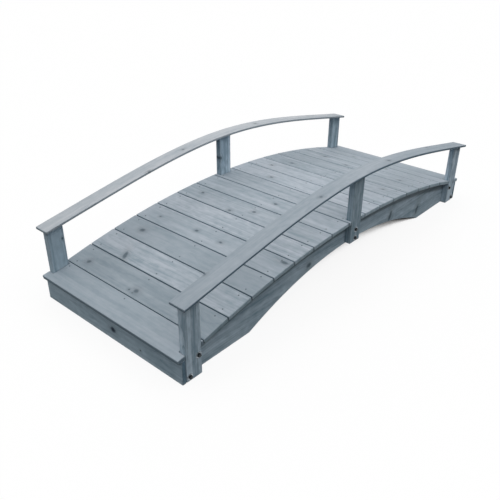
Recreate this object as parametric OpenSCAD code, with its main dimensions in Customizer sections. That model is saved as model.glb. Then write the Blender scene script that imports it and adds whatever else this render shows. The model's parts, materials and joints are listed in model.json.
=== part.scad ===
// Low arched garden bridge in stained softwood.
// X runs along the span from the near end to the far end, Y to the left, Z up.
// The origin is on the ground under the middle of the deck.

/* [Bridge] */
// Length between the outer faces of the two end boards
bridge_length = 2352; // [2200:1:2480]
// Width over the plank ends, the end boards and the posts' outer faces
bridge_width = 915; // [700:5:1200]

/* [Deck] */
// Width of a deck plank along the span
plank_width = 139; // [120:1:160]
// Thickness of a deck plank
plank_thickness = 20; // [15:1:28]
// Gap between neighbouring planks
plank_gap = 4; // [2:0.5:8]
// Length by which the deck runs past the end boards
deck_overhang = 15; // [5:1:30]
// Height of the deck's underside at its two ends
deck_end_height = 110; // [95:1:125]
// Height of the arc of the planks' seats at the middle of the span
seat_crown_height = 264.5; // [245:0.5:290]
// Height by which the deck's ends lie above that arc, carried on to there
end_lift = 14; // [5:1:18]
// Least width of the first and last planks, which are cut to what is left
end_plank_least = 80; // [40:1:84]
// Length by which the middle plank's seat starts before the middle posts
middle_plank_lead = 22; // [16:0.5:30]

/* [Stringers] */
// Thickness of each of the three stringers
stringer_thickness = 38; // [25:1:50]
// Height of the underside at the middle of the arch
arch_rise = 150.5; // [120:0.5:170]
// Distance from the middle of the span to the end of the arch at the ground
arch_half_span = 753; // [650:1:850]

/* [End boards] */
// Thickness of the boards that close the two ends
end_board_thickness = 20; // [15:1:28]

/* [Posts] */
// Width of a post along the span
post_width = 83; // [60:1:100]
// Distance of an end post from the end of its stringer
end_post_inset = 3; // [0:0.5:8]
// Thickness of a post across the bridge
post_thickness = 33; // [25:1:50]
// Height of the middle posts' lower ends above the underside of the arch
middle_post_lift = 8; // [0:1:40]
// Room left between a post and the planks cut round it
notch_clearance = 2; // [1:0.5:4]
// Least width of a strip of plank left on the inner side of an end post
end_strip_least = 8; // [4:1:30]
// Least width of a strip of plank left beside a middle post
middle_strip_least = 8; // [4:1:30]

/* [Handrails] */
// Width of a handrail across the bridge
rail_width = 85; // [60:1:120]
// Thickness of a handrail
rail_thickness = 12; // [9:0.5:20]
// Height of a handrail's top at the middle of the span
rail_crown_height = 521; // [470:1:600]
// Height of a handrail's top at its ends
rail_end_height = 362; // [330:1:400]
// Length of a handrail past the end posts
rail_overhang = 16; // [5:1:30]

/* [Hidden] */
// Weight of the square term in the handrail's curve: 1 is a parabola, 1.5 a strip bent over three posts
rail_bend_share = 1.66;
// Straight steps along the handrail's curve between two posts
RAIL_STEPS = 24;
// Facets of the arch's circle
ARCH_FACETS = 180;
// Length by which a cut runs past the faces that it opens
cut_overrun = 20;

half_length = bridge_length / 2;
half_width = bridge_width / 2;
deck_half_length = half_length + deck_overhang;
plank_pitch = plank_width + plank_gap;

// Arc of the seats, from its drop between the middle of the span and the ends
arc_drop = seat_crown_height - deck_end_height + end_lift;
deck_radius = (pow(deck_half_length, 2) + pow(arc_drop, 2)) / 2 / arc_drop;

// The seats' corners lie on the arc, counted both ways from the near edge of the middle plank's seat
seat_step = 2 * asin(plank_pitch / 2 / deck_radius);
middle_angle = -asin((post_width / 2 + middle_plank_lead) / deck_radius);
last_angle = asin((deck_half_length - end_plank_least) / deck_radius);
near_steps = floor((last_angle + middle_angle) / seat_step);
far_steps = floor((last_angle - middle_angle) / seat_step);
middle_plank = near_steps + 1;
PLANK_COUNT = near_steps + far_steps + 2;

stringer_half_length = half_length - end_board_thickness;
stringer_y = half_width - post_thickness - stringer_thickness / 2;
arch_radius = (pow(arch_half_span, 2) + pow(arch_rise, 2)) / 2 / arch_rise;

end_post_x = stringer_half_length - end_post_inset - post_width / 2;
post_y = half_width - post_thickness / 2;
notch_depth = post_thickness + notch_clearance;
rail_half_length = end_post_x + post_width / 2 + rail_overhang;

DECK_STAIN = "#8E9CA6";
RAIL_STAIN = "#AEB8BF";
FRAME_STAIN = "#66757E";

// Name of a plank, numbered from the near end with two digits
function plank_name(i) = str("deck_plank_", i < 9 ? "0" : "", i + 1);

// Point on the seats' arc at an angle from the middle of the span, as [x, z]
function arc_point(angle) =
    [deck_radius * sin(angle), seat_crown_height - deck_radius * (1 - cos(angle))];

// Corner between the seats of two planks, counted from the near end
function seat_corner(i) =
    i == 0 ? [-deck_half_length, deck_end_height]
    : i == PLANK_COUNT ? [deck_half_length, deck_end_height]
    : arc_point(middle_angle + seat_step * (i - middle_plank));

// Slope of a plank's seat, in degrees
function seat_slope(i) =
    let (step = seat_corner(i + 1) - seat_corner(i))
    atan2(step[1], step[0]);

// Height of the seat of the plank at one end of the bridge, at a place along the span
function end_seat_z(end, x) =
    let (slope = end < 0 ? seat_slope(0) : -seat_slope(PLANK_COUNT - 1))
    deck_end_height + (deck_half_length - abs(x)) * tan(slope);

// Height of a handrail's top at a place along the span
function rail_top(x) =
    let (s = abs(x) / rail_half_length)
    rail_crown_height - (rail_crown_height - rail_end_height)
        * (rail_bend_share * pow(s, 2) + (1 - rail_bend_share) * pow(s, 3));

// Places along a handrail where its outline has a corner: both edges of each post, and steps between
function rail_stations() =
    let (
        inner = post_width / 2,
        outer = end_post_x - post_width / 2,
        half = concat(
            [for (i = [0:RAIL_STEPS]) inner + (outer - inner) * i / RAIL_STEPS],
            [end_post_x + post_width / 2, rail_half_length]))
    concat([for (i = [len(half) - 1:-1:0]) -half[i]], half);

// Extrudes an outline drawn in X and Z across the bridge, centred on a place along Y
module across(y, thickness) {
    translate([0, y + thickness / 2, 0])
        rotate([90, 0, 0])
            linear_extrude(thickness)
                children();
}

// Space kept free for the posts of both sides, between two places along the span
module post_notches(from, to) {
    for (side = [-1, 1])
        across(side * (half_width + cut_overrun / 2 - notch_depth / 2), notch_depth + cut_overrun)
            translate([from, 0])
                square([to - from, rail_end_height]);
}

// Plank before any notch, flat on its seat and half a gap short of each neighbour
module plank_board(i) {
    seat = norm(seat_corner(i + 1) - seat_corner(i));
    near_gap = i == 0 ? 0 : plank_gap / 2;
    far_gap = i == PLANK_COUNT - 1 ? 0 : plank_gap / 2;
    across(0, bridge_width)
        translate(seat_corner(i))
            rotate(seat_slope(i))
                translate([near_gap, 0])
                    square([seat - near_gap - far_gap, plank_thickness]);
}

// Plank with its ends notched round the posts that it meets; the strip along the bridge's end stays,
// and a strip that would be too thin beside a post is cut away
module deck_plank(i) {
    from = seat_corner(i)[0];
    to = seat_corner(i + 1)[0];
    reach = post_width / 2 + notch_clearance;
    color(DECK_STAIN)
        difference() {
            plank_board(i);
            for (x = [-end_post_x, 0, end_post_x])
                if (from < x + reach && to > x - reach) {
                    least = plank_gap / 2 + (x == 0 ? middle_strip_least : end_strip_least);
                    keeps_near = i == 0 || x - reach - from > least;
                    keeps_far = i == PLANK_COUNT - 1 || to - x - reach > least;
                    post_notches(
                        keeps_near ? x - reach : from - cut_overrun,
                        keeps_far ? x + reach : to + cut_overrun);
                }
        }
}

// Arched beam: a seat for each plank on top, flat feet and one round arch below
module stringer(y) {
    seats = [for (i = [1:PLANK_COUNT - 1]) seat_corner(i)];
    near_top = [-stringer_half_length, end_seat_z(-1, stringer_half_length)];
    far_top = [stringer_half_length, end_seat_z(1, stringer_half_length)];
    feet = [[stringer_half_length, 0], [-stringer_half_length, 0]];
    color(FRAME_STAIN)
        difference() {
            across(y, stringer_thickness)
                polygon(concat([near_top], seats, [far_top], feet));
            across(y, stringer_thickness + cut_overrun)
                translate([0, arch_rise - arch_radius])
                    circle(r = arch_radius, $fn = ARCH_FACETS);
        }
}

// Board across one end, with its top bevelled to the slope of the plank on it
module end_board(end) {
    inner = end * stringer_half_length;
    outer = end * half_length;
    color(FRAME_STAIN)
        across(0, bridge_width)
            polygon([
                [inner, 0],
                [outer, 0],
                [outer, end_seat_z(end, outer)],
                [inner, end_seat_z(end, inner)]]);
}

// Post against the outer face of a side stringer, with its top cut to the handrail
module post(x, side, bottom) {
    from = x - post_width / 2;
    to = x + post_width / 2;
    color(FRAME_STAIN)
        across(side * post_y, post_thickness)
            polygon([
                [from, bottom],
                [to, bottom],
                [to, rail_top(to) - rail_thickness],
                [from, rail_top(from) - rail_thickness]]);
}

module end_post(end, side) post(end * end_post_x, side, 0);

module middle_post(side) post(0, side, arch_rise + middle_post_lift);

// Flat board bent over the three posts of one side
module handrail(side) {
    stations = rail_stations();
    top = [for (x = stations) [x, rail_top(x)]];
    underside = [for (i = [len(top) - 1:-1:0]) top[i] - [0, rail_thickness]];
    color(RAIL_STAIN)
        across(side * post_y, rail_width)
            polygon(concat(top, underside));
}

for (i = [0:PLANK_COUNT - 1])
    deck_plank(i);
stringer(stringer_y);  // left_stringer
stringer(0);  // centre_stringer
stringer(-stringer_y);  // right_stringer
end_board(-1);  // near_end_board
end_board(1);  // far_end_board
end_post(-1, 1);  // near_left_post
middle_post(1);  // middle_left_post
end_post(1, 1);  // far_left_post
end_post(-1, -1);  // near_right_post
middle_post(-1);  // middle_right_post
end_post(1, -1);  // far_right_post
handrail(1);  // left_handrail
handrail(-1);  // right_handrail
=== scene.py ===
"""Wooden garden bridge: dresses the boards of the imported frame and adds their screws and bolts."""

import json
import math
import random

import bmesh
import bpy
import numpy as np
from bpy.props import FloatProperty, FloatVectorProperty, PointerProperty
from mathutils import Matrix, Vector

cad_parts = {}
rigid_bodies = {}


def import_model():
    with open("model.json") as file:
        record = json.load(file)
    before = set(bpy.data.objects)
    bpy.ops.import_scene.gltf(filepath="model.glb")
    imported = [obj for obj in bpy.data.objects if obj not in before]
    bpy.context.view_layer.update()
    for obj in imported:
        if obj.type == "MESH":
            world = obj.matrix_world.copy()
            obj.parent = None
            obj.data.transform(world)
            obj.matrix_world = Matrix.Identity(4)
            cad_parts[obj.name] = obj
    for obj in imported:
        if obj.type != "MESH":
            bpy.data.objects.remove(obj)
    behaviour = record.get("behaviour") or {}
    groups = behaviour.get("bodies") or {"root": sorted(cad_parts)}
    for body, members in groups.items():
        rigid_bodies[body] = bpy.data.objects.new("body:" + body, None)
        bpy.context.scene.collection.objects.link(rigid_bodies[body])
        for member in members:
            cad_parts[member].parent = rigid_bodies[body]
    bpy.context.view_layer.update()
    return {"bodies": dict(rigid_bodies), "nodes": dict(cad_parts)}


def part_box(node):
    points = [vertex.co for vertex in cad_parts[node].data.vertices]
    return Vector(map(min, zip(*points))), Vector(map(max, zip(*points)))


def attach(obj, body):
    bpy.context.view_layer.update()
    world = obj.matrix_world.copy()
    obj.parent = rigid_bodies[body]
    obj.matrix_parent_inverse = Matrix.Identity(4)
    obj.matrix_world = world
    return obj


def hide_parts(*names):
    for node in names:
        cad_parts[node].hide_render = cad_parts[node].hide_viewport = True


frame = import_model()

bl_info = {
    "name": "Wooden Garden Bridge",
    "version": (1, 0, 0),
    "blender": (4, 5, 0),
    "location": "3D View > Sidebar > Garden Bridge",
    "description": "Dresses an arched garden bridge as stained softwood, with its screws and bolts",
    "category": "Object",
}

BODY = "root"
MILLIMETRE = 0.001
WHITE = (1.0, 1.0, 1.0, 1.0)

# Nodes of each kind of board
PLANKS = sorted(name for name in frame["nodes"] if name.startswith("deck_plank_"))
STRINGERS = ("left_stringer", "centre_stringer", "right_stringer")
END_BOARDS = ("near_end_board", "far_end_board")
POSTS = sorted(name for name in frame["nodes"] if name.endswith("_post"))
HANDRAILS = ("left_handrail", "right_handrail")

# World axes along the grain, across the board and through it, for each kind of board
AXES = {"x": Vector((1, 0, 0)), "y": Vector((0, 1, 0)), "z": Vector((0, 0, 1))}
GRAIN_AXES = {"plank": "yxz", "stringer": "xzy", "end_board": "yzx", "post": "zxy", "handrail": "xyz"}

# How much stain each plank took, from the near end: A deepest to E palest. The tones hold the planks' own
# # differences and also paint light: the near planks, facing away from the light, are set deeper and those
# # on the crown paler.
PLANK_STAINS = "BACBCDCDCEEDCDDCC"
STAIN_TONES = {"A": 0.80, "B": 0.88, "C": 0.98, "D": 1.04, "E": 1.14}

# How much light the stain of each other board throws back, where it isn't 1. The handrails' tones are in
# # part painted light: the left one is set paler and the right one darker, standing for the brighter
# grazing
# # light on the left one.
BOARD_TONES = {
    "left_handrail": 1.23,
    "right_handrail": 0.92,
    "near_right_post": 1.1,
    "middle_right_post": 0.82,
    "far_right_post": 1.2,
    "near_left_post": 0.91,
    "middle_left_post": 1.25,
    "far_left_post": 0.93,
    "near_end_board": 0.92,
}

# Powers of a tone in red, green and blue: a deep stain is bluer, and a thin one more neutral
TINT_POWERS = (1.15, 1.0, 0.97)

# How strongly the grain of each board shows, where it isn't 1
BOARD_FIGURES = {
    "deck_plank_01": 0.6,
    "deck_plank_02": 0.75,
    "deck_plank_03": 1.25,
    "deck_plank_04": 0.6,
    "deck_plank_05": 0.85,
    "deck_plank_06": 1.35,
    "deck_plank_07": 1.1,
    "deck_plank_12": 1.25,
    "near_end_board": 0.6,
    "right_stringer": 0.7,
    "near_left_post": 0.6,
}

# Shares of red, green and blue that are left on the end grain and on the long side faces of each kind of
# # board, or of one board. The end grain is darker where stain soaks in; on the side faces the darkening
# is
# # partly soaked stain and partly painted shade, strongest on the handrails', planks' and middle left
# post's.
END_TINTS = {
    "plank": (0.88, 0.98, 1.0),
    "stringer": (0.42, 0.51, 0.56),
    "end_board": (0.42, 0.51, 0.56),
    "post": (0.42, 0.51, 0.56),
    "handrail": (0.51, 0.61, 0.67),
    "deck_plank_01": (0.50, 0.58, 0.63),
}
EDGE_TINTS = {
    "plank": (0.48, 0.58, 0.64),
    "stringer": (0.68, 0.74, 0.77),
    "end_board": (0.81, 0.84, 0.86),
    "post": (1.0, 1.0, 1.0),
    "handrail": (0.38, 0.50, 0.58),
    "left_handrail": (0.66, 0.72, 0.76),
    "middle_left_post": (0.70, 0.74, 0.76),
}

# Knots that show, as (along, across, radius) from the board's middle, in millimetres. A spike knot also
# has how many times longer it is than wide, and its turn from the grain in degrees.
MOST_KNOTS = 4
ROUND_KNOT = (1.25, 0)
KNOTS = {
    "deck_plank_02": ((350, -21, 11), (-6, -32, 13), (30, -42, 5)),
    "deck_plank_03": ((231, -40, 12, 2.6, 58), (-250, 20, 6)),
    "deck_plank_04": ((317, -2, 13),),
    "deck_plank_05": ((334, -11, 6), (86, 2, 9), (-82, -6, 9), (-424, 41, 11, 2.2, 0)),
    "deck_plank_07": ((337, 9, 9), (-24, 12, 10), (87, -50, 9)),
    "deck_plank_08": ((-52, 4, 9),),
    "deck_plank_10": ((193, -20, 10), (-300, 25, 8)),
    "deck_plank_11": ((322, -3, 9),),
    "deck_plank_12": ((270, -18, 9), (-340, 15, 8)),
    "deck_plank_14": ((253, 24, 12), (57, -32, 10), (-310, -20, 9)),
    "deck_plank_15": ((-120, 20, 9),),
    "deck_plank_16": ((180, -25, 8),),
    "left_stringer": ((-620, -30, 18), (150, 45, 14), (690, -35, 16)),
    "centre_stringer": ((-240, 60, 15), (520, 10, 17)),
    "right_stringer": ((-334, 23, 16), (412, 6, 17, 2.0, 70), (739, -68, 17, 2.0, 70)),
    "near_end_board": ((-32, -3, 15, 1.3, 0), (-209, -19, 4)),
    "far_end_board": ((160, 12, 9), (-260, -20, 7)),
    "near_left_post": ((106, 30, 6),),
    "middle_left_post": ((50, -38, 9),),
    "far_right_post": ((-60, 25, 8),),
    "left_handrail": ((-571, -40, 9), (-309, -6, 8), (270, -1, 9), (820, 20, 7)),
    "right_handrail": ((-987, 39, 7), (-313, -10, 8), (269, -10, 10), (760, 25, 7)),
}

# Where the painted shade under the planks' overhang starts and where it is full, 52 and 38 mm below the
# planks' seats, in radii of their arc
SHADE_START_REACH = 0.9880
FULL_SHADE_REACH = 0.9912

# Boards whose knots are dead and nearly black
DEAD_KNOTS = ("near_end_board",)

# Knots in knot radii: how ragged their outline is, where their heart and their halo start and end, and how
# fast the rings' swell round them fades
KNOT_RAGGEDNESS = 0.7
KNOT_HEART = (0.4, 1.2)
KNOT_HALO = (0.8, 3.4)
HALO_SHADE = 0.84
SWELL_FADE = 0.22

# How far the rings wander and how far they swell round a knot, in metres, and how sharp their late wood is
RING_WANDER = 0.045
RING_SWELL = 0.010
LATE_WOOD_POWER = 2.6

# Patterns of the stain in cycles a metre: along, across and through the grain, or only along it
WANDER_SCALE = (2.2, 11.0, 11.0)
TAKE_SCALE = (4.5, 11.0, 11.0)
MOTTLE_SCALE = (24.0, 50.0, 50.0)
STREAK_RUN_SCALE = 0.9
FIBRE_RUN_SCALE = 6.0
RAGGED_SCALE = 70.0

# How much each pattern deepens the stain, and the middle of what it varies between
STREAK_WEIGHT = 1.9
FIBRE_WEIGHT = 0.8
TAKE_WEIGHT = 0.9
MOTTLE_WEIGHT = 1.2
NOISE_MIDDLE = 0.5
LATE_WOOD_MIDDLE = 0.28

# Heart of a board's trunk: how far along it may lie, how far aside in half widths, and how deep, in metres
HEART_RUN = 20
HEART_ASIDE = 0.6
HEART_DEPTHS = (-0.09, -0.03)

# Angle between faces over which an edge stays sharp to the eye
SMOOTH_ANGLE = math.radians(38)


def to_linear(colour):
    """Linear red, green and blue of an sRGB hex colour."""
    shares = [int(colour[i:i + 2], 16) / 255 for i in (1, 3, 5)]
    return [s / 12.92 if s <= 0.04045 else ((s + 0.055) / 1.055) ** 2.4 for s in shares]


class BoardSettings(bpy.types.PropertyGroup):
    """Edges and grain of the boards, and the shade and light painted on them."""

    edge_radius: FloatProperty(
        name="Edge Radius", description="Radius to which the boards' edges are eased",
        default=0.003, min=0.0005, unit="LENGTH")
    ring_width: FloatProperty(
        name="Ring Width", description="Width of a growth ring, drawn coarse so that it shows",
        default=0.012, min=0.002, unit="LENGTH")
    streak_width: FloatProperty(
        name="Streak Width", description="Width of the soft streaks along the grain",
        default=0.030, min=0.004, unit="LENGTH")
    fibre_width: FloatProperty(
        name="Fibre Width", description="Width of the fine fibre lines, drawn coarse so that they show",
        default=0.005, min=0.001, unit="LENGTH")
    deck_figure: FloatProperty(
        name="Deck Figure", description="How strongly the grain shows through the deck's stain",
        default=0.8, min=0, max=2, subtype="FACTOR")
    frame_figure: FloatProperty(
        name="Frame Figure", description="How strongly the grain shows through the frame's stain",
        default=1.2, min=0, max=2, subtype="FACTOR")
    rail_figure: FloatProperty(
        name="Handrail Figure", description="How strongly the grain shows through the handrails' stain",
        default=0.7, min=0, max=2, subtype="FACTOR")
    deck_rings: FloatProperty(
        name="Deck Rings", description="How strongly the growth rings show in the deck's grain",
        default=0.3, min=0, max=2, subtype="FACTOR")
    frame_rings: FloatProperty(
        name="Frame Rings", description="How strongly the growth rings show in the frame's grain",
        default=0.4, min=0, max=2, subtype="FACTOR")
    rail_rings: FloatProperty(
        name="Handrail Rings", description="How strongly the growth rings show in the handrails' grain",
        default=0.3, min=0, max=2, subtype="FACTOR")
    deck_knots: FloatProperty(
        name="Deck Knots", description="How far the stain over the deck's knots hides the wood",
        default=0.68, min=0, max=1, subtype="FACTOR")
    frame_knots: FloatProperty(
        name="Frame Knots", description="How far the stain over the frame's knots hides the wood",
        default=0.8, min=0, max=1, subtype="FACTOR")
    rail_knots: FloatProperty(
        name="Handrail Knots", description="How far the stain over the handrails' knots hides the wood",
        default=0.5, min=0, max=1, subtype="FACTOR")
    # Painted light: the planks' ends are painted paler, against the shade that the handrails cast on them
    deck_bleach: FloatProperty(
        name="Deck Painted End Light", description="How much paler the planks are at their ends than in the middle",
        default=0.12, min=-1, max=1, subtype="FACTOR")
    # Painted light: the handrails' ends are painted darker, so that their tops over the crown look lit
    rail_bleach: FloatProperty(
        name="Handrail Painted End Light", description="How much paler the handrails are at their ends than on top",
        default=-0.10, min=-1, max=1, subtype="FACTOR")
    # Painted shade: how much darker the stringers are painted in a band under the planks' overhang, where
    # the planks' shadow falls
    damp: FloatProperty(
        name="Overhang Shade", description="How much darker the stringers are where the planks drip on them",
        default=0.5, min=0, max=1, subtype="FACTOR")


class StainSettings(bpy.types.PropertyGroup):
    """Colours of the stained wood."""

    deck_pale: FloatVectorProperty(
        name="Deck, Pale", description="Stain over the pale wood of the deck",
        subtype="COLOR", min=0, max=1, default=to_linear("#B4BCC5"))
    deck_deep: FloatVectorProperty(
        name="Deck, Deep", description="Stain over the dark wood of the deck",
        subtype="COLOR", min=0, max=1, default=to_linear("#909EA8"))
    # Painted light, in part: the frame's stain is set paler than the deck's, making up for the dimmer
    # light on its upright faces
    frame_pale: FloatVectorProperty(
        name="Frame, Pale", description="Stain over the pale wood of stringers, posts and end boards",
        subtype="COLOR", min=0, max=1, default=to_linear("#C2D5E2"))
    frame_deep: FloatVectorProperty(
        name="Frame, Deep", description="Stain over the dark wood of stringers, posts and end boards",
        subtype="COLOR", min=0, max=1, default=to_linear("#859CAB"))
    # Painted light, in part: the left handrail's stain is set paler and less blue than the right one's,
    # standing for the brighter grazing light on it
    left_rail_pale: FloatVectorProperty(
        name="Left Handrail, Pale", description="Stain over the pale wood of the left handrail",
        subtype="COLOR", min=0, max=1, default=to_linear("#BBC0C4"))
    left_rail_deep: FloatVectorProperty(
        name="Left Handrail, Deep", description="Stain over the dark wood of the left handrail",
        subtype="COLOR", min=0, max=1, default=to_linear("#9BA5AC"))
    right_rail_pale: FloatVectorProperty(
        name="Right Handrail, Pale", description="Stain over the pale wood of the right handrail",
        subtype="COLOR", min=0, max=1, default=to_linear("#BAC1C9"))
    right_rail_deep: FloatVectorProperty(
        name="Right Handrail, Deep", description="Stain over the dark wood of the right handrail",
        subtype="COLOR", min=0, max=1, default=to_linear("#9AA6B0"))
    knot: FloatVectorProperty(
        name="Knot", description="Stain over a knot",
        subtype="COLOR", min=0, max=1, default=to_linear("#465660"))
    dead_knot: FloatVectorProperty(
        name="Dead Knot", description="Stain over a dead knot",
        subtype="COLOR", min=0, max=1, default=to_linear("#1A2A3A"))
    worn_edge: FloatVectorProperty(
        name="Worn Edge", description="Stain rubbed thin along the eased edges",
        subtype="COLOR", min=0, max=1, default=to_linear("#B4BBC1"))
    roughness: FloatProperty(
        name="Roughness", description="Roughness of the stained surface",
        default=0.52, min=0, max=1, subtype="FACTOR")


class FasteningSettings(bpy.types.PropertyGroup):
    """Sizes and places of bolts and screws."""

    bolt_diameter: FloatProperty(
        name="Bolt Diameter", description="Diameter of the bolts through posts and stringers",
        default=0.010, min=0.004, unit="LENGTH")
    washer_diameter: FloatProperty(
        name="Washer Diameter", description="Diameter of the washers under heads and nuts",
        default=0.030, min=0.010, unit="LENGTH")
    washer_thickness: FloatProperty(
        name="Washer Thickness", description="Thickness of the washers",
        default=0.002, min=0.0005, unit="LENGTH")
    bolt_edge: FloatProperty(
        name="Bolt Edge Distance", description="Height of the lower bolt over the foot of its post",
        default=0.021, min=0.010, unit="LENGTH")
    end_bolt_rise: FloatProperty(
        name="End Bolt Rise", description="Height between the two bolts of an end post",
        default=0.078, min=0.030, unit="LENGTH")
    end_bolt_lead: FloatProperty(
        name="End Bolt Lead", description="Distance of an end post's bolts from its middle line",
        default=0.025, min=0, unit="LENGTH")
    middle_bolt_rise: FloatProperty(
        name="Middle Bolt Rise", description="Height between the two bolts of a middle post",
        default=0.047, min=0.030, unit="LENGTH")
    screw_diameter: FloatProperty(
        name="Screw Head", description="Diameter of the deck screws' heads",
        default=0.007, min=0.003, unit="LENGTH")
    screw_inset: FloatProperty(
        name="Screw Inset", description="Distance of the deck screws from the planks' edges",
        default=0.0205, min=0.008, unit="LENGTH")


class StageSettings(bpy.types.PropertyGroup):
    """Camera, light and floor."""

    camera_place: FloatVectorProperty(
        name="Camera Place", description="Where the camera stands",
        subtype="TRANSLATION", unit="LENGTH", default=(-2.3252, -1.8041, 1.5921))
    camera_heading: FloatProperty(
        name="Camera Heading", description="Heading of the view, from +X towards +Y",
        subtype="ANGLE", default=math.radians(41.26))
    camera_dip: FloatProperty(
        name="Camera Dip", description="Angle by which the camera looks down",
        subtype="ANGLE", default=math.radians(29.44))
    camera_roll: FloatProperty(
        name="Camera Roll", description="Roll of the camera about its view",
        subtype="ANGLE", default=math.radians(0.39))
    camera_lens: FloatProperty(
        name="Camera Lens", description="Focal length in millimetres on a 36 mm sensor",
        default=43.2, min=10, unit="CAMERA")
    overhead: FloatProperty(
        name="Overhead Light", description="Brightness of the soft light straight overhead",
        default=0.7, min=0)
    ring: FloatProperty(
        name="Ring Light", description="Brightness of the ring of soft light that stands all round",
        default=1.7, min=0)
    horizon: FloatProperty(
        name="Low Light", description="Brightness of the soft light near the floor",
        default=0.12, min=0)
    floor_half_size: FloatProperty(
        name="Floor Half Size", description="Half the side of the floor",
        default=40, min=3, unit="LENGTH")
    floor_bounce: FloatVectorProperty(
        name="Floor Bounce", description="Colour of the light that the floor throws back",
        subtype="COLOR", min=0, max=1, default=to_linear("#2E3032"))


def add_node(tree, kind, inputs=None, out=0, **settings):
    """Adds a node with its settings, sets or links its inputs by name or number, and returns an output."""
    node = tree.nodes.new(kind)
    for name, value in settings.items():
        setattr(node, name, value)
    open_inputs = [socket for socket in node.inputs if socket.enabled]
    for key, value in (inputs or {}).items():
        named = (socket for socket in open_inputs if socket.name == key)
        socket = open_inputs[key] if isinstance(key, int) else next(named)
        if isinstance(value, bpy.types.NodeSocket):
            tree.links.new(value, socket)
        else:
            socket.default_value = value
    open_outputs = [socket for socket in node.outputs if socket.enabled]
    if not open_outputs:
        return None
    named = (socket for socket in open_outputs if socket.name == out)
    return open_outputs[out] if isinstance(out, int) else next(named)


def new_tree(name):
    """New material with an empty node tree, as (material, tree)."""
    material = bpy.data.materials.new(name)
    material.use_nodes = True
    material.node_tree.nodes.clear()
    return material, material.node_tree


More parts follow.
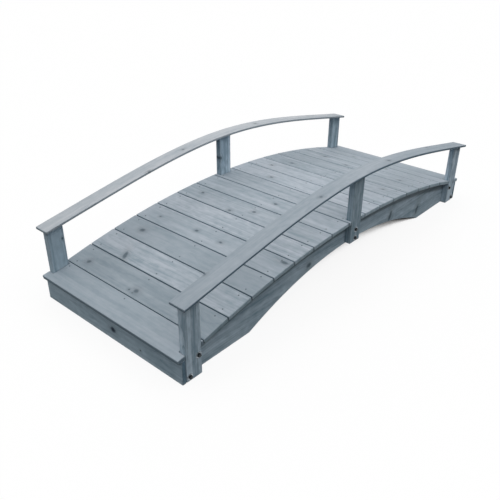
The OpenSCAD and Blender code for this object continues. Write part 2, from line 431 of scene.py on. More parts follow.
def stained_softwood(name, pale, deep, look, boards, stain):
    """Fir, planed and brushed with a thin blue-grey water stain.

    The stain sinks into the soft early wood and slides off the hard late wood, so rings and fibres show
    as pale and dark lines along the board. Knots stay dark, end grain drinks more and eased edges are
    rubbed thin. A band of the stringers under the planks' overhang is painted shade, the long side
    faces are darkened partly by soaked stain and partly as painted shade, and the ends of the planks
    are painted paler and those of the handrails darker as painted light. The film is matt, with a soft
    sheen at a flat angle.
    """
    material, tree = new_tree(name)
    trunk = add_node(tree, "ShaderNodeAttribute", out="Vector", attribute_name="trunk")
    tone = add_node(tree, "ShaderNodeAttribute", out="Vector", attribute_name="tone")
    figure = add_node(tree, "ShaderNodeAttribute", out="Fac", attribute_name="figure")
    run = add_node(tree, "ShaderNodeAttribute", out="Fac", attribute_name="run")
    soaked = add_node(tree, "ShaderNodeAttribute", out="Vector", attribute_name="soaked")
    eased = add_node(tree, "ShaderNodeAttribute", out="Fac", attribute_name="eased")
    dead = add_node(tree, "ShaderNodeAttribute", out="Fac", attribute_name="dead_knots")

    # Distance from the nearest knot, in knot radii, with a ragged outline
    nearest = None
    for number in range(MOST_KNOTS):
        offset = add_node(tree, "ShaderNodeAttribute", out="Vector", attribute_name=f"knot_{number}")
        away = add_node(tree, "ShaderNodeVectorMath", {0: offset}, operation="LENGTH")
        if nearest is None:
            nearest = away
        else:
            nearest = add_node(tree, "ShaderNodeMath", {0: nearest, 1: away}, operation="MINIMUM")
    ragged = add_node(tree, "ShaderNodeTexNoise", {"Vector": trunk, "Scale": RAGGED_SCALE, "Detail": 2.0})
    knot = add_node(
        tree, "ShaderNodeMath", {0: ragged, 1: KNOT_RAGGEDNESS, 2: nearest}, operation="MULTIPLY_ADD")
    knot = add_node(tree, "ShaderNodeMath", {0: knot, 1: KNOT_RAGGEDNESS / 2}, operation="SUBTRACT")
    squared = add_node(tree, "ShaderNodeMath", {0: knot, 1: knot}, operation="MULTIPLY")
    faded = add_node(tree, "ShaderNodeMath", {0: squared, 1: -SWELL_FADE}, operation="MULTIPLY")
    swell = add_node(tree, "ShaderNodeMath", {0: faded}, operation="EXPONENT")

    # Growth rings round the heart of the trunk, which wander along it and swell round the knots
    section = add_node(tree, "ShaderNodeVectorMath", {0: trunk, 1: (0.0, 1.0, 1.0)}, operation="MULTIPLY")
    radius = add_node(tree, "ShaderNodeVectorMath", {0: section}, operation="LENGTH")
    slow = add_node(tree, "ShaderNodeVectorMath", {0: trunk, 1: WANDER_SCALE}, operation="MULTIPLY")
    wander = add_node(tree, "ShaderNodeTexNoise", {"Vector": slow, "Scale": 1.0, "Detail": 2.0})
    radius = add_node(
        tree, "ShaderNodeMath", {0: wander, 1: RING_WANDER, 2: radius}, operation="MULTIPLY_ADD")
    radius = add_node(
        tree, "ShaderNodeMath", {0: swell, 1: RING_SWELL, 2: radius}, operation="MULTIPLY_ADD")
    turns = add_node(tree, "ShaderNodeMath", {0: radius, 1: boards.ring_width}, operation="DIVIDE")
    within = add_node(tree, "ShaderNodeMath", {0: turns}, operation="FRACT")
    late_wood = add_node(tree, "ShaderNodeMath", {0: within, 1: LATE_WOOD_POWER}, operation="POWER")

    # Streaks and fibres drawn out along the grain, uneven take of the stain, and the mottle of the brush
    width = boards.streak_width
    scale = (STREAK_RUN_SCALE, 1 / width, 1 / width)
    drawn = add_node(tree, "ShaderNodeVectorMath", {0: trunk, 1: scale}, operation="MULTIPLY")
    streak = add_node(tree, "ShaderNodeTexNoise", {"Vector": drawn, "Scale": 1.0, "Detail": 3.0})
    width = boards.fibre_width
    scale = (FIBRE_RUN_SCALE, 1 / width, 1 / width)
    drawn = add_node(tree, "ShaderNodeVectorMath", {0: trunk, 1: scale}, operation="MULTIPLY")
    fibre = add_node(
        tree, "ShaderNodeTexNoise", {"Vector": drawn, "Scale": 1.0, "Detail": 5.0, "Roughness": 0.7})
    drawn = add_node(tree, "ShaderNodeVectorMath", {0: trunk, 1: TAKE_SCALE}, operation="MULTIPLY")
    take = add_node(tree, "ShaderNodeTexNoise", {"Vector": drawn, "Scale": 1.0, "Detail": 2.0})
    drawn = add_node(tree, "ShaderNodeVectorMath", {0: trunk, 1: MOTTLE_SCALE}, operation="MULTIPLY")
    mottle = add_node(tree, "ShaderNodeTexNoise", {"Vector": drawn, "Scale": 1.0, "Detail": 3.0})

    # The parts are weighted about their middles, so that an even mix lies halfway from pale to deep
    parts = (
        (streak, STREAK_WEIGHT, NOISE_MIDDLE),
        (late_wood, look["rings"], LATE_WOOD_MIDDLE),
        (fibre, FIBRE_WEIGHT, NOISE_MIDDLE),
        (take, TAKE_WEIGHT, NOISE_MIDDLE),
        (mottle, MOTTLE_WEIGHT, NOISE_MIDDLE))
    grain = -sum(weight * middle for _, weight, middle in parts)
    for part, weight, _ in parts:
        grain = add_node(tree, "ShaderNodeMath", {0: part, 1: weight, 2: grain}, operation="MULTIPLY_ADD")
    depth = add_node(tree, "ShaderNodeMath", {0: grain, 1: figure, 2: 0.5}, operation="MULTIPLY_ADD")
    colour = add_node(
        tree, "ShaderNodeMix", {"Factor": depth, "A": (*pale, 1.0), "B": (*deep, 1.0)}, data_type="RGBA")

    # Painted light: the ends of the planks painted paler and those of the handrails darker than their
    # middles; and the darker halo and heart of the knots
    ends = add_node(tree, "ShaderNodeMath", {0: run, 1: run}, operation="MULTIPLY")
    painted_end_lighting = add_node(
        tree, "ShaderNodeMath", {0: ends, 1: look["painted_end_light"], 2: 1.0}, operation="MULTIPLY_ADD")
    halo = add_node(
        tree, "ShaderNodeMapRange",
        {"Value": knot, "From Min": KNOT_HALO[0], "From Max": KNOT_HALO[1], "To Min": HALO_SHADE},
        interpolation_type="SMOOTHSTEP")
    shade = add_node(tree, "ShaderNodeMath", {0: halo, 1: painted_end_lighting}, operation="MULTIPLY")
    colour = add_node(tree, "ShaderNodeVectorMath", {0: colour, "Scale": shade}, operation="SCALE")
    colour = add_node(tree, "ShaderNodeVectorMath", {0: colour, 1: tone}, operation="MULTIPLY")
    heart = add_node(
        tree, "ShaderNodeMapRange",
        {"Value": knot, "From Min": KNOT_HEART[0], "From Max": KNOT_HEART[1],
         "To Min": 1.0, "To Max": 0.0},
        interpolation_type="SMOOTHSTEP")
    hidden = add_node(
        tree, "ShaderNodeMath", {0: dead, 1: 1 - look["knots"], 2: look["knots"]},
        operation="MULTIPLY_ADD")
    heart = add_node(tree, "ShaderNodeMath", {0: heart, 1: hidden}, operation="MULTIPLY")
    knot_colour = add_node(
        tree, "ShaderNodeMix", {"Factor": dead, "A": (*stain.knot, 1.0), "B": (*stain.dead_knot, 1.0)},
        data_type="RGBA")
    colour = add_node(
        tree, "ShaderNodeMix", {"Factor": heart, "A": colour, "B": knot_colour}, data_type="RGBA")

    # Soaked end grain, side faces darkened partly by soaked stain and partly as painted shade, and arrises
    # that are rubbed thin here and there
    rubbed_share = 0.3
    colour = add_node(tree, "ShaderNodeVectorMath", {0: colour, 1: soaked}, operation="MULTIPLY")
    rubbed = add_node(tree, "ShaderNodeMath", {0: eased, 1: take}, operation="MULTIPLY")
    rubbed = add_node(tree, "ShaderNodeMath", {0: rubbed, 1: rubbed_share}, operation="MULTIPLY")
    colour = add_node(
        tree, "ShaderNodeMix", {"Factor": rubbed, "A": colour, "B": (*stain.worn_edge, 1.0)},
        data_type="RGBA")

    # Painted shade: a band darkened under the planks' overhang, on boards that carry them, where the
    # planks' shadow falls
    seat = add_node(tree, "ShaderNodeAttribute", out="Vector", attribute_name="seat")
    reach = add_node(tree, "ShaderNodeVectorMath", {0: seat}, operation="LENGTH")
    painted_shade = add_node(
        tree, "ShaderNodeMapRange",
        {"Value": reach, "From Min": SHADE_START_REACH, "From Max": FULL_SHADE_REACH,
         "To Min": 1.0, "To Max": 1 - boards.damp},
        interpolation_type="SMOOTHSTEP")
    colour = add_node(tree, "ShaderNodeVectorMath", {0: colour, "Scale": painted_shade}, operation="SCALE")

    # Raised late wood and fibres, and a film that is smoother on the hard wood
    fibre_height, knot_height, ridge = 0.6, 0.5, 0.35 * MILLIMETRE
    hard_polish, fibre_roughness = -0.08, 0.12
    relief = add_node(
        tree, "ShaderNodeMath", {0: fibre, 1: fibre_height, 2: late_wood}, operation="MULTIPLY_ADD")
    relief = add_node(
        tree, "ShaderNodeMath", {0: heart, 1: knot_height, 2: relief}, operation="MULTIPLY_ADD")
    bump = add_node(tree, "ShaderNodeBump", {"Strength": 0.5, "Distance": ridge, "Height": relief})
    rough = add_node(
        tree, "ShaderNodeMath", {0: late_wood, 1: hard_polish, 2: stain.roughness},
        operation="MULTIPLY_ADD")
    rough = add_node(
        tree, "ShaderNodeMath", {0: fibre, 1: fibre_roughness, 2: rough}, operation="MULTIPLY_ADD")
    shader = add_node(
        tree, "ShaderNodeBsdfPrincipled",
        {"Base Color": colour, "Roughness": rough, "IOR": 1.5, "Specular IOR Level": 0.07, "Normal": bump})
    add_node(tree, "ShaderNodeOutputMaterial", {"Surface": shader})
    return material


def zinc_plated_steel():
    """Steel washers, zinc plated and dulled outdoors: pale grey, mottled, with blurred highlights."""
    least_rough, rough_span = 0.28, 0.25
    material, tree = new_tree("zinc_plated_steel")
    place = add_node(tree, "ShaderNodeTexCoord", out="Object")
    mottle = add_node(tree, "ShaderNodeTexNoise", {"Vector": place, "Scale": 260.0, "Detail": 3.0})
    colour = add_node(
        tree, "ShaderNodeMix",
        {"Factor": mottle, "A": (*to_linear("#6A747B"), 1.0), "B": (*to_linear("#A3ABB1"), 1.0)},
        data_type="RGBA")
    rough = add_node(
        tree, "ShaderNodeMath", {0: mottle, 1: rough_span, 2: least_rough}, operation="MULTIPLY_ADD")
    shader = add_node(
        tree, "ShaderNodeBsdfPrincipled", {"Base Color": colour, "Metallic": 1.0, "Roughness": rough})
    add_node(tree, "ShaderNodeOutputMaterial", {"Surface": shader})
    return material


def blackened_steel(name, dark, rubbed):
    """Steel fastenings, phosphate blackened and oiled: dark and satin, paler where the tool rubbed."""
    least_rough, rough_span = 0.3, 0.2
    material, tree = new_tree(name)
    place = add_node(tree, "ShaderNodeTexCoord", out="Object")
    mottle = add_node(tree, "ShaderNodeTexNoise", {"Vector": place, "Scale": 400.0, "Detail": 2.0})
    colour = add_node(
        tree, "ShaderNodeMix",
        {"Factor": mottle, "A": (*to_linear(dark), 1.0), "B": (*to_linear(rubbed), 1.0)},
        data_type="RGBA")
    rough = add_node(
        tree, "ShaderNodeMath", {0: mottle, 1: rough_span, 2: least_rough}, operation="MULTIPLY_ADD")
    shader = add_node(
        tree, "ShaderNodeBsdfPrincipled", {"Base Color": colour, "Metallic": 0.7, "Roughness": rough})
    add_node(tree, "ShaderNodeOutputMaterial", {"Surface": shader})
    return material


class Board:
    """Size and grain of one board, read from its node: along, across and through its grain."""

    # Least share of a face's normal that points through the board
    FACE_LEAN = 0.7
    # Share of a stringer's height over which its outermost corners are those of its seats
    SEAT_LOWEST = 0.55

    def __init__(self, node, kind):
        mesh = frame["nodes"][node].data
        along, across, through = (AXES[letter] for letter in GRAIN_AXES[kind])
        faces = Vector()
        for polygon in mesh.polygons:
            lean = polygon.normal.dot(through)
            if abs(lean) > self.FACE_LEAN:
                faces += polygon.normal * math.copysign(polygon.area, lean)
        self.along = along
        self.through = faces.normalized()
        self.across = (across - across.project(self.through)).normalized()
        self.node = node
        corners = [vertex.co for vertex in mesh.vertices]
        spans = []
        for axis in (self.along, self.across, self.through):
            reach = [corner.dot(axis) for corner in corners]
            spans.append((min(reach), max(reach)))
        self.middle = [(low + high) / 2 for low, high in spans]
        self.half = [(high - low) / 2 for low, high in spans]
        self.face = spans[2][1]
        self.bend = self.top_line(corners) if kind == "handrail" else None
        self.seat = self.seat_arc(corners) if kind == "stringer" else None

    @staticmethod
    def seat_arc(corners):
        """Height of the centre and radius of the arc of a stringer's seats, from two top corners."""
        crown = max(corners, key=lambda corner: corner.z)
        high = [corner for corner in corners if corner.z > Board.SEAT_LOWEST * crown.z]
        haunch = max(high, key=lambda corner: abs(corner.x))
        reach = crown.length_squared - crown.y ** 2 - haunch.length_squared + haunch.y ** 2
        centre = reach / (2 * (crown.z - haunch.z))
        return centre, math.hypot(crown.x, crown.z - centre)

    @staticmethod
    def top_line(corners):
        """Places along a bent board and the height of its top there, as two lists."""
        tops = {}
        for corner in corners:
            key = round(corner.x, 4)
            tops[key] = max(tops.get(key, corner.z), corner.z)
        return sorted(tops), [tops[key] for key in sorted(tops)]

    def face_at(self, along):
        """Height of the board's face through its thickness, at a place along it."""
        return self.face if self.bend is None else float(np.interp(along, *self.bend))

    def grain_place(self, point):
        """Place of a point along, across and through the board, from the middle of its face."""
        along = point.dot(self.along)
        return Vector((
            along - self.middle[0],
            point.dot(self.across) - self.middle[1],
            point.dot(self.through) - self.face_at(along)))

    def point(self, along, across):
        """Point on the board's face, at a place from its middle."""
        run = self.middle[0] + along
        return (
            self.along * run + self.across * (self.middle[1] + across) + self.through * self.face_at(run))

    def upright(self, along, across):
        """Direction out of the board's face at a place from its middle."""
        step = MILLIMETRE
        run = self.point(along + step, across) - self.point(along - step, across)
        out = self.across.cross(run)
        return (out if out.dot(self.through) > 0 else -out).normalized()


def eased_copy(node, radius):
    """Copy of a node's solid with whole flat faces and eased edges, whose own faces are marked."""
    weld, flat, sharp = 0.01 * MILLIMETRE, math.radians(0.2), math.radians(30)
    solid = bmesh.new()
    solid.from_mesh(frame["nodes"][node].data)
    bmesh.ops.remove_doubles(solid, verts=solid.verts, dist=weld)
    bmesh.ops.dissolve_limit(solid, angle_limit=flat, verts=solid.verts, edges=solid.edges)
    eased = solid.faces.layers.float.new("eased")
    edges = [edge for edge in solid.edges if edge.calc_face_angle(0) > sharp]
    made = bmesh.ops.bevel(
        solid, geom=edges, offset=radius, offset_type="OFFSET", segments=3, profile=0.5,
        affect="EDGES", clamp_overlap=True)
    for face in made["faces"]:
        face[eased] = 1.0
    bmesh.ops.dissolve_degenerate(solid, dist=weld, edges=solid.edges)
    solid.normal_update()
    return solid


def add_grain(solid, board, kind, tone, figure):
    """Gives a board its place in the trunk, its soaked faces and side faces darkened as painted shade, its
    tone and its distance from each knot.
    """
    rng = random.Random(board.node)
    heart = Vector((
        rng.uniform(-HEART_RUN, HEART_RUN),
        rng.uniform(-HEART_ASIDE, HEART_ASIDE) * board.half[1],
        rng.uniform(*HEART_DEPTHS)))
    trunk = solid.verts.layers.float_vector.new("trunk")
    toned = solid.verts.layers.float_vector.new("tone")
    figured = solid.verts.layers.float.new("figure")
    run = solid.verts.layers.float.new("run")
    dead = solid.verts.layers.float.new("dead_knots")
    seat = solid.verts.layers.float_vector.new("seat")
    knots = [solid.verts.layers.float_vector.new(f"knot_{number}") for number in range(MOST_KNOTS)]
    places = list(KNOTS.get(board.node, ()))
    far_off = (1e6, 1e6, 1.0)
    places += [far_off] * (MOST_KNOTS - len(places))
    for vertex in solid.verts:
        place = board.grain_place(vertex.co)
        vertex[trunk] = place - heart
        vertex[toned] = [tone ** power for power in TINT_POWERS]
        vertex[figured] = figure
        vertex[run] = place.x / board.half[0]
        vertex[dead] = float(board.node in DEAD_KNOTS)
        # Place against the arc of the seats, which sets the band of painted shade under the planks'
        # overhang
        if board.seat:
            centre, arc_radius = board.seat
            vertex[seat] = (vertex.co.x / arc_radius, 0.0, (vertex.co.z - centre) / arc_radius)
        for layer, (along, across, radius, *spike) in zip(knots, places):
            stretch, turn = spike or ROUND_KNOT
            offset = Vector((place.x - along * MILLIMETRE, place.y - across * MILLIMETRE))
            offset.rotate(Matrix.Rotation(-math.radians(turn), 2))
            size = radius * MILLIMETRE
            vertex[layer] = (offset.x / size / stretch, offset.y / size, 0.0)
    soaked = solid.faces.layers.float_vector.new("soaked")
    end_tint = END_TINTS.get(board.node, END_TINTS[kind])
    edge_tint = EDGE_TINTS.get(board.node, EDGE_TINTS[kind])
    for face in solid.faces:
        end = abs(face.normal.dot(board.along))
        edge = abs(face.normal.dot(board.across))
        face[soaked] = [
            min(1 - end * (1 - end_share), 1 - edge * (1 - edge_share))
            for end_share, edge_share in zip(end_tint, edge_tint)]


def new_piece(name, solid, material):
    """Makes a piece of the bridge from a solid, shaded smooth over its rounded edges."""
    mesh = bpy.data.meshes.new(name)
    solid.to_mesh(mesh)
    solid.free()
    mesh.materials.append(material)
    mesh.shade_smooth()
    mesh.set_sharp_from_angle(angle=SMOOTH_ANGLE)
    piece = bpy.data.objects.new(name, mesh)
    bpy.context.scene.collection.objects.link(piece)
    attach(piece, BODY)
    return piece


def make_board(context, node, kind, part, tone):
    """Makes the dressed copy of one board node, in the node's own place."""
    board = Board(node, kind)
    boards = context.scene.bridge_boards
    solid = eased_copy(node, boards.edge_radius)
    figures = {"plank": boards.deck_figure, "handrail": boards.rail_figure}
    part_figure = figures.get(kind, boards.frame_figure)
    add_grain(solid, board, kind, tone, part_figure * BOARD_FIGURES.get(node, 1))
    piece = new_piece(f"{node}_wood", solid, wood_for(context, part))
    piece.modifiers.new("flat_faces", "WEIGHTED_NORMAL").keep_sharp = True
    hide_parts(node)


def wood_for(context, part):
    """The stained softwood of one part of the bridge, made once."""
    name = f"stained_fir_{part}"
    if name in bpy.data.materials:
        return bpy.data.materials[name]
    boards, stain = context.scene.bridge_boards, context.scene.bridge_stain
    family = part.split("_")[-1]
    look = {
        "rings": getattr(boards, f"{family}_rings"),
        "knots": getattr(boards, f"{family}_knots"),
        "painted_end_light": getattr(boards, f"{family}_bleach", 0.0),
    }
    pale, deep = getattr(stain, f"{part}_pale"), getattr(stain, f"{part}_deep")
    return stained_softwood(name, pale, deep, look, boards, stain)


def standing(point, direction, turn=0.0):
    """Matrix that stands a fastening on a point, with its axis along a direction."""
    lean = direction.to_track_quat("Z", "Y").to_matrix().to_4x4()
    return Matrix.Translation(point) @ lean @ Matrix.Rotation(turn, 4, "Z")


def turned(solid, matrix, profile, sides):
    """Adds a turned or prismatic body: a ring of corners at each (radius, height), joined and capped.

    A radius may also be a function of the angle.
    """
    rings = []
    for radius, height in profile:
        ring = []
        for step in range(sides):
            angle = math.tau * step / sides
            reach = radius(angle) if callable(radius) else radius
            corner = Vector((reach * math.cos(angle), reach * math.sin(angle), height))
            ring.append(solid.verts.new(matrix @ corner))
        rings.append(ring)
    for low, high in zip(rings, rings[1:]):
        for step in range(sides):
            after = (step + 1) % sides
            solid.faces.new((low[step], low[after], high[after], high[step]))
    solid.faces.new(rings[0][::-1])
    solid.faces.new(rings[-1])


def add_washer(solid, matrix, fastening):
    """Flat washer with rounded rims."""
    radius, thick = fastening.washer_diameter / 2, fastening.washer_thickness
    rim, inner = thick / 4, 0.6 * radius
    profile = ((radius, 0), (radius, thick - rim), (radius - rim, thick), (inner, thick))
    turned(solid, matrix, profile, sides=32)


def add_hexagon(solid, matrix, diameter, base, height):
    """Hexagon head or nut for a bolt of a given diameter, with its corners turned off."""
    corner = 1.6 * diameter / 2 / math.cos(math.pi / 6)
    chamfer, dome = 0.12 * height, 1.03 * height
    foot, shoulder, crown = 0.94 * corner, 0.88 * corner, 0.5 * corner
    profile = (
        (foot, base),
        (corner, base + chamfer),
        (corner, base + height - chamfer),
        (shoulder, base + height),
        (crown, base + dome))
    turned(solid, matrix, profile, sides=6)


def post_bolt_places(node, fastening):
    """Places of the two bolts of a post, as (x, z), the lower one first."""
    low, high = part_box(node)
    middle = (low.x + high.x) / 2
    foot = low.z + fastening.bolt_edge
    if node.startswith("middle"):
        return (middle, foot), (middle, foot + fastening.middle_bolt_rise)
    outward = math.copysign(fastening.end_bolt_lead, middle)
    return (middle + outward, foot), (middle - outward, foot + fastening.end_bolt_rise)


class BRIDGE_OT_lay_deck(bpy.types.Operator):
    """Lays the planks of the deck"""

    bl_idname = "bridge.lay_deck"
    bl_label = "Lay Deck"

    def execute(self, context):
        for node, stain in zip(PLANKS, PLANK_STAINS, strict=True):
            make_board(context, node, "plank", "deck", STAIN_TONES[stain])
        return {"FINISHED"}


class BRIDGE_OT_fit_stringers(bpy.types.Operator):
    """Fits the three arched stringers under the deck"""

    bl_idname = "bridge.fit_stringers"
    bl_label = "Fit Stringers"

    def execute(self, context):
        for node in STRINGERS:
            make_board(context, node, "stringer", "frame", BOARD_TONES.get(node, 1))
        return {"FINISHED"}


class BRIDGE_OT_fit_end_boards(bpy.types.Operator):
    """Fits the boards that close the two ends"""

    bl_idname = "bridge.fit_end_boards"
    bl_label = "Fit End Boards"

    def execute(self, context):
        for node in END_BOARDS:
            make_board(context, node, "end_board", "frame", BOARD_TONES.get(node, 1))
        return {"FINISHED"}


class BRIDGE_OT_fit_posts(bpy.types.Operator):
    """Fits the six posts against the side stringers"""

    bl_idname = "bridge.fit_posts"
    bl_label = "Fit Posts"

    def execute(self, context):
        for node in POSTS:
            make_board(context, node, "post", "frame", BOARD_TONES.get(node, 1))
        return {"FINISHED"}


class BRIDGE_OT_bend_handrails(bpy.types.Operator):
    """Dresses the two handrails, already bent over their posts"""

    bl_idname = "bridge.bend_handrails"
    bl_label = "Bend Handrails"

    def execute(self, context):
        for node in HANDRAILS:
            part = node.replace("hand", "")
            make_board(context, node, "handrail", part, BOARD_TONES.get(node, 1))
        return {"FINISHED"}


class BRIDGE_OT_drive_deck_screws(bpy.types.Operator):
    """Drives two screws through each plank into each stringer"""

    bl_idname = "bridge.drive_deck_screws"
    bl_label = "Drive Deck Screws"

    def execute(self, context):
        fastening = context.scene.bridge_fastening
        radius = fastening.screw_diameter / 2
        rim, floor, proud = 0.25 * MILLIMETRE, 0.1 * MILLIMETRE, 0.5 * MILLIMETRE
        core, wing, sharpness = 0.22, 0.36, 3

        def recess(angle):
            """Reach of the cross recess, with four wings round its core."""
            return radius * (core + wing * abs(math.cos(2 * angle)) ** sharpness)

        profile = (
            (radius, -radius), (radius, proud - rim), (radius - rim, proud),
            (lambda angle: recess(angle) + rim, proud), (recess, floor))
        rng = random.Random("deck screws")
        solid = bmesh.new()
        for node in PLANKS:
            board = Board(node, "plank")
            reach = board.half[1] - fastening.screw_inset
            for stringer in STRINGERS:
                low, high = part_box(stringer)
                along = (low.y + high.y) / 2
                for across in (-reach, reach):
                    head = board.point(along, across)
                    if low.x < head.x < high.x:
                        matrix = standing(head, board.upright(along, across), rng.uniform(0, math.tau))
                        turned(solid, matrix, profile, sides=24)
        new_piece("deck_screws", solid, blackened_steel("blackened_steel_screws", "#4B565D", "#75818A"))
        return {"FINISHED"}


class BRIDGE_OT_fit_post_bolts(bpy.types.Operator):
    """Fits two bolts through each post and its stringer, with washers and nuts"""

    bl_idname = "bridge.fit_post_bolts"
    bl_label = "Fit Post Bolts"

    def execute(self, context):
        fastening = context.scene.bridge_fastening
        diameter, thick = fastening.bolt_diameter, fastening.washer_thickness
        head_height, nut_height, spare = 0.66 * diameter, 0.81 * diameter, 0.9 * diameter
        tip = thick + nut_height + spare
        shoulder, point = 0.93 * tip, 0.4 * diameter
        bolt_end = ((diameter / 2, thick), (diameter / 2, shoulder), (point, tip))
        rng = random.Random("post bolts")
        bolts, washers = bmesh.new(), bmesh.new()
        for node in POSTS:
            low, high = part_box(node)
            side = math.copysign(1, low.y)
            outside = low.y if side < 0 else high.y
            inner_low, inner_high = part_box("left_stringer" if side > 0 else "right_stringer")
            inside = inner_high.y if side < 0 else inner_low.y
            outward = Vector((0, side, 0))
            for x, z in post_bolt_places(node, fastening):
                head = standing(Vector((x, outside, z)), outward, rng.uniform(0, math.tau))
                add_washer(washers, head, fastening)
                add_hexagon(bolts, head, diameter, thick, head_height)
                nut = standing(Vector((x, inside, z)), -outward, rng.uniform(0, math.tau))
                add_washer(washers, nut, fastening)
                add_hexagon(bolts, nut, diameter, thick, nut_height)
                turned(bolts, nut, bolt_end, sides=20)
        new_piece("post_bolts", bolts, blackened_steel("blackened_steel_bolts", "#14181B", "#343B40"))
        new_piece("post_washers", washers, zinc_plated_steel())
        return {"FINISHED"}


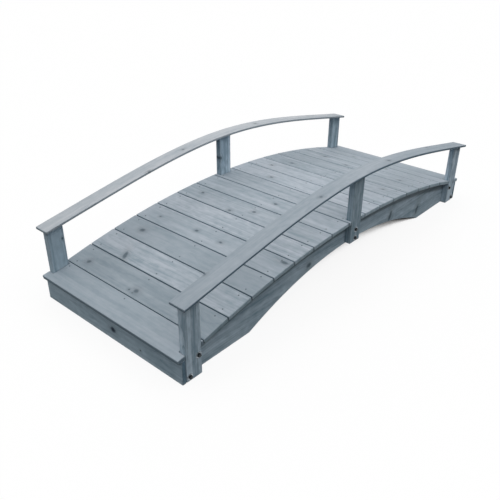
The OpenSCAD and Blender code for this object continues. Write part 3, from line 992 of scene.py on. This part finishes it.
class BRIDGE_OT_set_stage(bpy.types.Operator):
    """Sets the floor, the light and the camera"""

    bl_idname = "bridge.set_stage"
    bl_label = "Set Stage"

    def execute(self, context):
        stage = context.scene.bridge_stage
        context.scene.view_settings.view_transform = "Standard"
        self.lay_floor(stage)
        self.set_world(stage)
        self.place_camera(context, stage)
        return {"FINISHED"}

    @staticmethod
    def seen(tree):
        """1 for rays that show the backdrop to the eye: straight, mirrored or through glass."""
        paths = [
            add_node(tree, "ShaderNodeLightPath", out=name)
            for name in ("Is Camera Ray", "Is Glossy Ray", "Is Transmission Ray")]
        either = add_node(tree, "ShaderNodeMath", {0: paths[0], 1: paths[1]}, operation="MAXIMUM")
        return add_node(tree, "ShaderNodeMath", {0: either, 1: paths[2]}, operation="MAXIMUM")

    def lay_floor(self, stage):
        """Matt paper floor: white to the eye with a pale shadow, and grey in the light it throws back.

        Where the bridge hides nearly all the light, the floor's glow is dimmed by occlusion as a painted
        shadow, so the gaps of the deck are dark too.
        """
        shadow_share, under = 0.10, 0.5 * MILLIMETRE
        dark_openness, white_openness, bridge_reach = 0.06, 0.18, 2.0
        solid = bmesh.new()
        half = stage.floor_half_size
        corners = ((-half, -half), (half, -half), (half, half), (-half, half))
        solid.faces.new([solid.verts.new((x, y, -under)) for x, y in corners])
        mesh = bpy.data.meshes.new("studio_floor")
        solid.to_mesh(mesh)
        solid.free()
        material, tree = new_tree("matt_white_paper")
        # Painted shadow: the glow that shows the floor white is dimmed where the bridge closes it in
        openness = add_node(
            tree, "ShaderNodeAmbientOcclusion", {"Distance": bridge_reach}, out="AO", samples=32)
        strength = add_node(
            tree, "ShaderNodeMapRange",
            {"Value": openness, "From Min": dark_openness, "From Max": white_openness},
            interpolation_type="SMOOTHSTEP")
        glow = add_node(tree, "ShaderNodeEmission", {"Color": WHITE, "Strength": strength})
        shaded = add_node(tree, "ShaderNodeBsdfDiffuse", {"Color": WHITE})
        paper = add_node(tree, "ShaderNodeMixShader", {0: shadow_share, 1: glow, 2: shaded})
        bounce = add_node(tree, "ShaderNodeBsdfDiffuse", {"Color": (*stage.floor_bounce, 1.0)})
        surface = add_node(tree, "ShaderNodeMixShader", {0: self.seen(tree), 1: bounce, 2: paper})
        add_node(tree, "ShaderNodeOutputMaterial", {"Surface": surface})
        mesh.materials.append(material)
        floor = bpy.data.objects.new("studio_floor", mesh)
        bpy.context.scene.collection.objects.link(floor)

    def set_world(self, stage):
        """Soft light in a high ring all round, milder overhead and dim near the floor; white behind."""
        ring_foot, ring_top = (0.48, 0.62), (0.80, 0.94)
        world = bpy.context.scene.world or bpy.data.worlds.new("studio")
        bpy.context.scene.world = world
        world.use_nodes = True
        tree = world.node_tree
        tree.nodes.clear()
        direction = add_node(tree, "ShaderNodeTexCoord", out="Generated")
        height = add_node(tree, "ShaderNodeSeparateXYZ", {0: direction}, out="Z")
        rise = add_node(
            tree, "ShaderNodeMapRange",
            {"Value": height, "From Min": ring_foot[0], "From Max": ring_foot[1],
             "To Min": stage.horizon, "To Max": stage.ring}, interpolation_type="SMOOTHSTEP")
        fall = add_node(
            tree, "ShaderNodeMapRange",
            {"Value": height, "From Min": ring_top[0], "From Max": ring_top[1],
             "To Min": 0.0, "To Max": stage.ring - stage.overhead}, interpolation_type="SMOOTHSTEP")
        strength = add_node(tree, "ShaderNodeMath", {0: rise, 1: fall}, operation="SUBTRACT")
        light = add_node(tree, "ShaderNodeBackground", {"Color": WHITE, "Strength": strength})
        backdrop = add_node(tree, "ShaderNodeBackground", {"Color": WHITE, "Strength": 1.0})
        surface = add_node(tree, "ShaderNodeMixShader", {0: self.seen(tree), 1: light, 2: backdrop})
        add_node(tree, "ShaderNodeOutputWorld", {"Surface": surface})

    @staticmethod
    def place_camera(context, stage):
        """Stands the camera where the photo was taken from."""
        lens = bpy.data.cameras.new("photo_camera")
        lens.lens = stage.camera_lens
        camera = bpy.data.objects.new("photo_camera", lens)
        camera.location = stage.camera_place
        turn = Matrix.Rotation(stage.camera_heading - math.pi / 2, 3, "Z")
        dip = Matrix.Rotation(math.pi / 2 - stage.camera_dip, 3, "X")
        roll = Matrix.Rotation(stage.camera_roll, 3, "Z")
        camera.rotation_euler = (turn @ dip @ roll).to_euler()
        context.scene.collection.objects.link(camera)
        context.scene.camera = camera


class BRIDGE_PT_panel(bpy.types.Panel):
    """Settings and steps of the garden bridge"""

    bl_label = "Garden Bridge"
    bl_idname = "BRIDGE_PT_panel"
    bl_space_type = "VIEW_3D"
    bl_region_type = "UI"
    bl_category = "Garden Bridge"

    def draw(self, context):
        for name in SETTINGS:
            box = self.layout.box()
            settings = getattr(context.scene, name)
            for prop in settings.bl_rna.properties:
                if prop.identifier in settings.__annotations__:
                    box.prop(settings, prop.identifier)
        for step in STEPS:
            self.layout.operator(step.bl_idname)


SETTINGS = {
    "bridge_boards": BoardSettings,
    "bridge_stain": StainSettings,
    "bridge_fastening": FasteningSettings,
    "bridge_stage": StageSettings,
}

STEPS = (
    BRIDGE_OT_lay_deck,
    BRIDGE_OT_fit_stringers,
    BRIDGE_OT_fit_end_boards,
    BRIDGE_OT_fit_posts,
    BRIDGE_OT_bend_handrails,
    BRIDGE_OT_drive_deck_screws,
    BRIDGE_OT_fit_post_bolts,
    BRIDGE_OT_set_stage,
)


def register():
    for kind in (*SETTINGS.values(), *STEPS, BRIDGE_PT_panel):
        bpy.utils.register_class(kind)
    for name, kind in SETTINGS.items():
        setattr(bpy.types.Scene, name, PointerProperty(type=kind))


def unregister():
    for name in SETTINGS:
        delattr(bpy.types.Scene, name)
    for kind in (BRIDGE_PT_panel, *reversed(STEPS), *reversed(SETTINGS.values())):
        bpy.utils.unregister_class(kind)


def clear_start_scene():
    """Removes what a new file holds, and keeps the frame."""
    kept = {*frame["nodes"].values(), *frame["bodies"].values()}
    for piece in list(bpy.data.objects):
        if piece not in kept:
            bpy.data.objects.remove(piece)


def main():
    register()
    clear_start_scene()
    for step in STEPS:
        group, name = step.bl_idname.split(".")
        getattr(getattr(bpy.ops, group), name)()


if __name__ == "__main__":
    main()
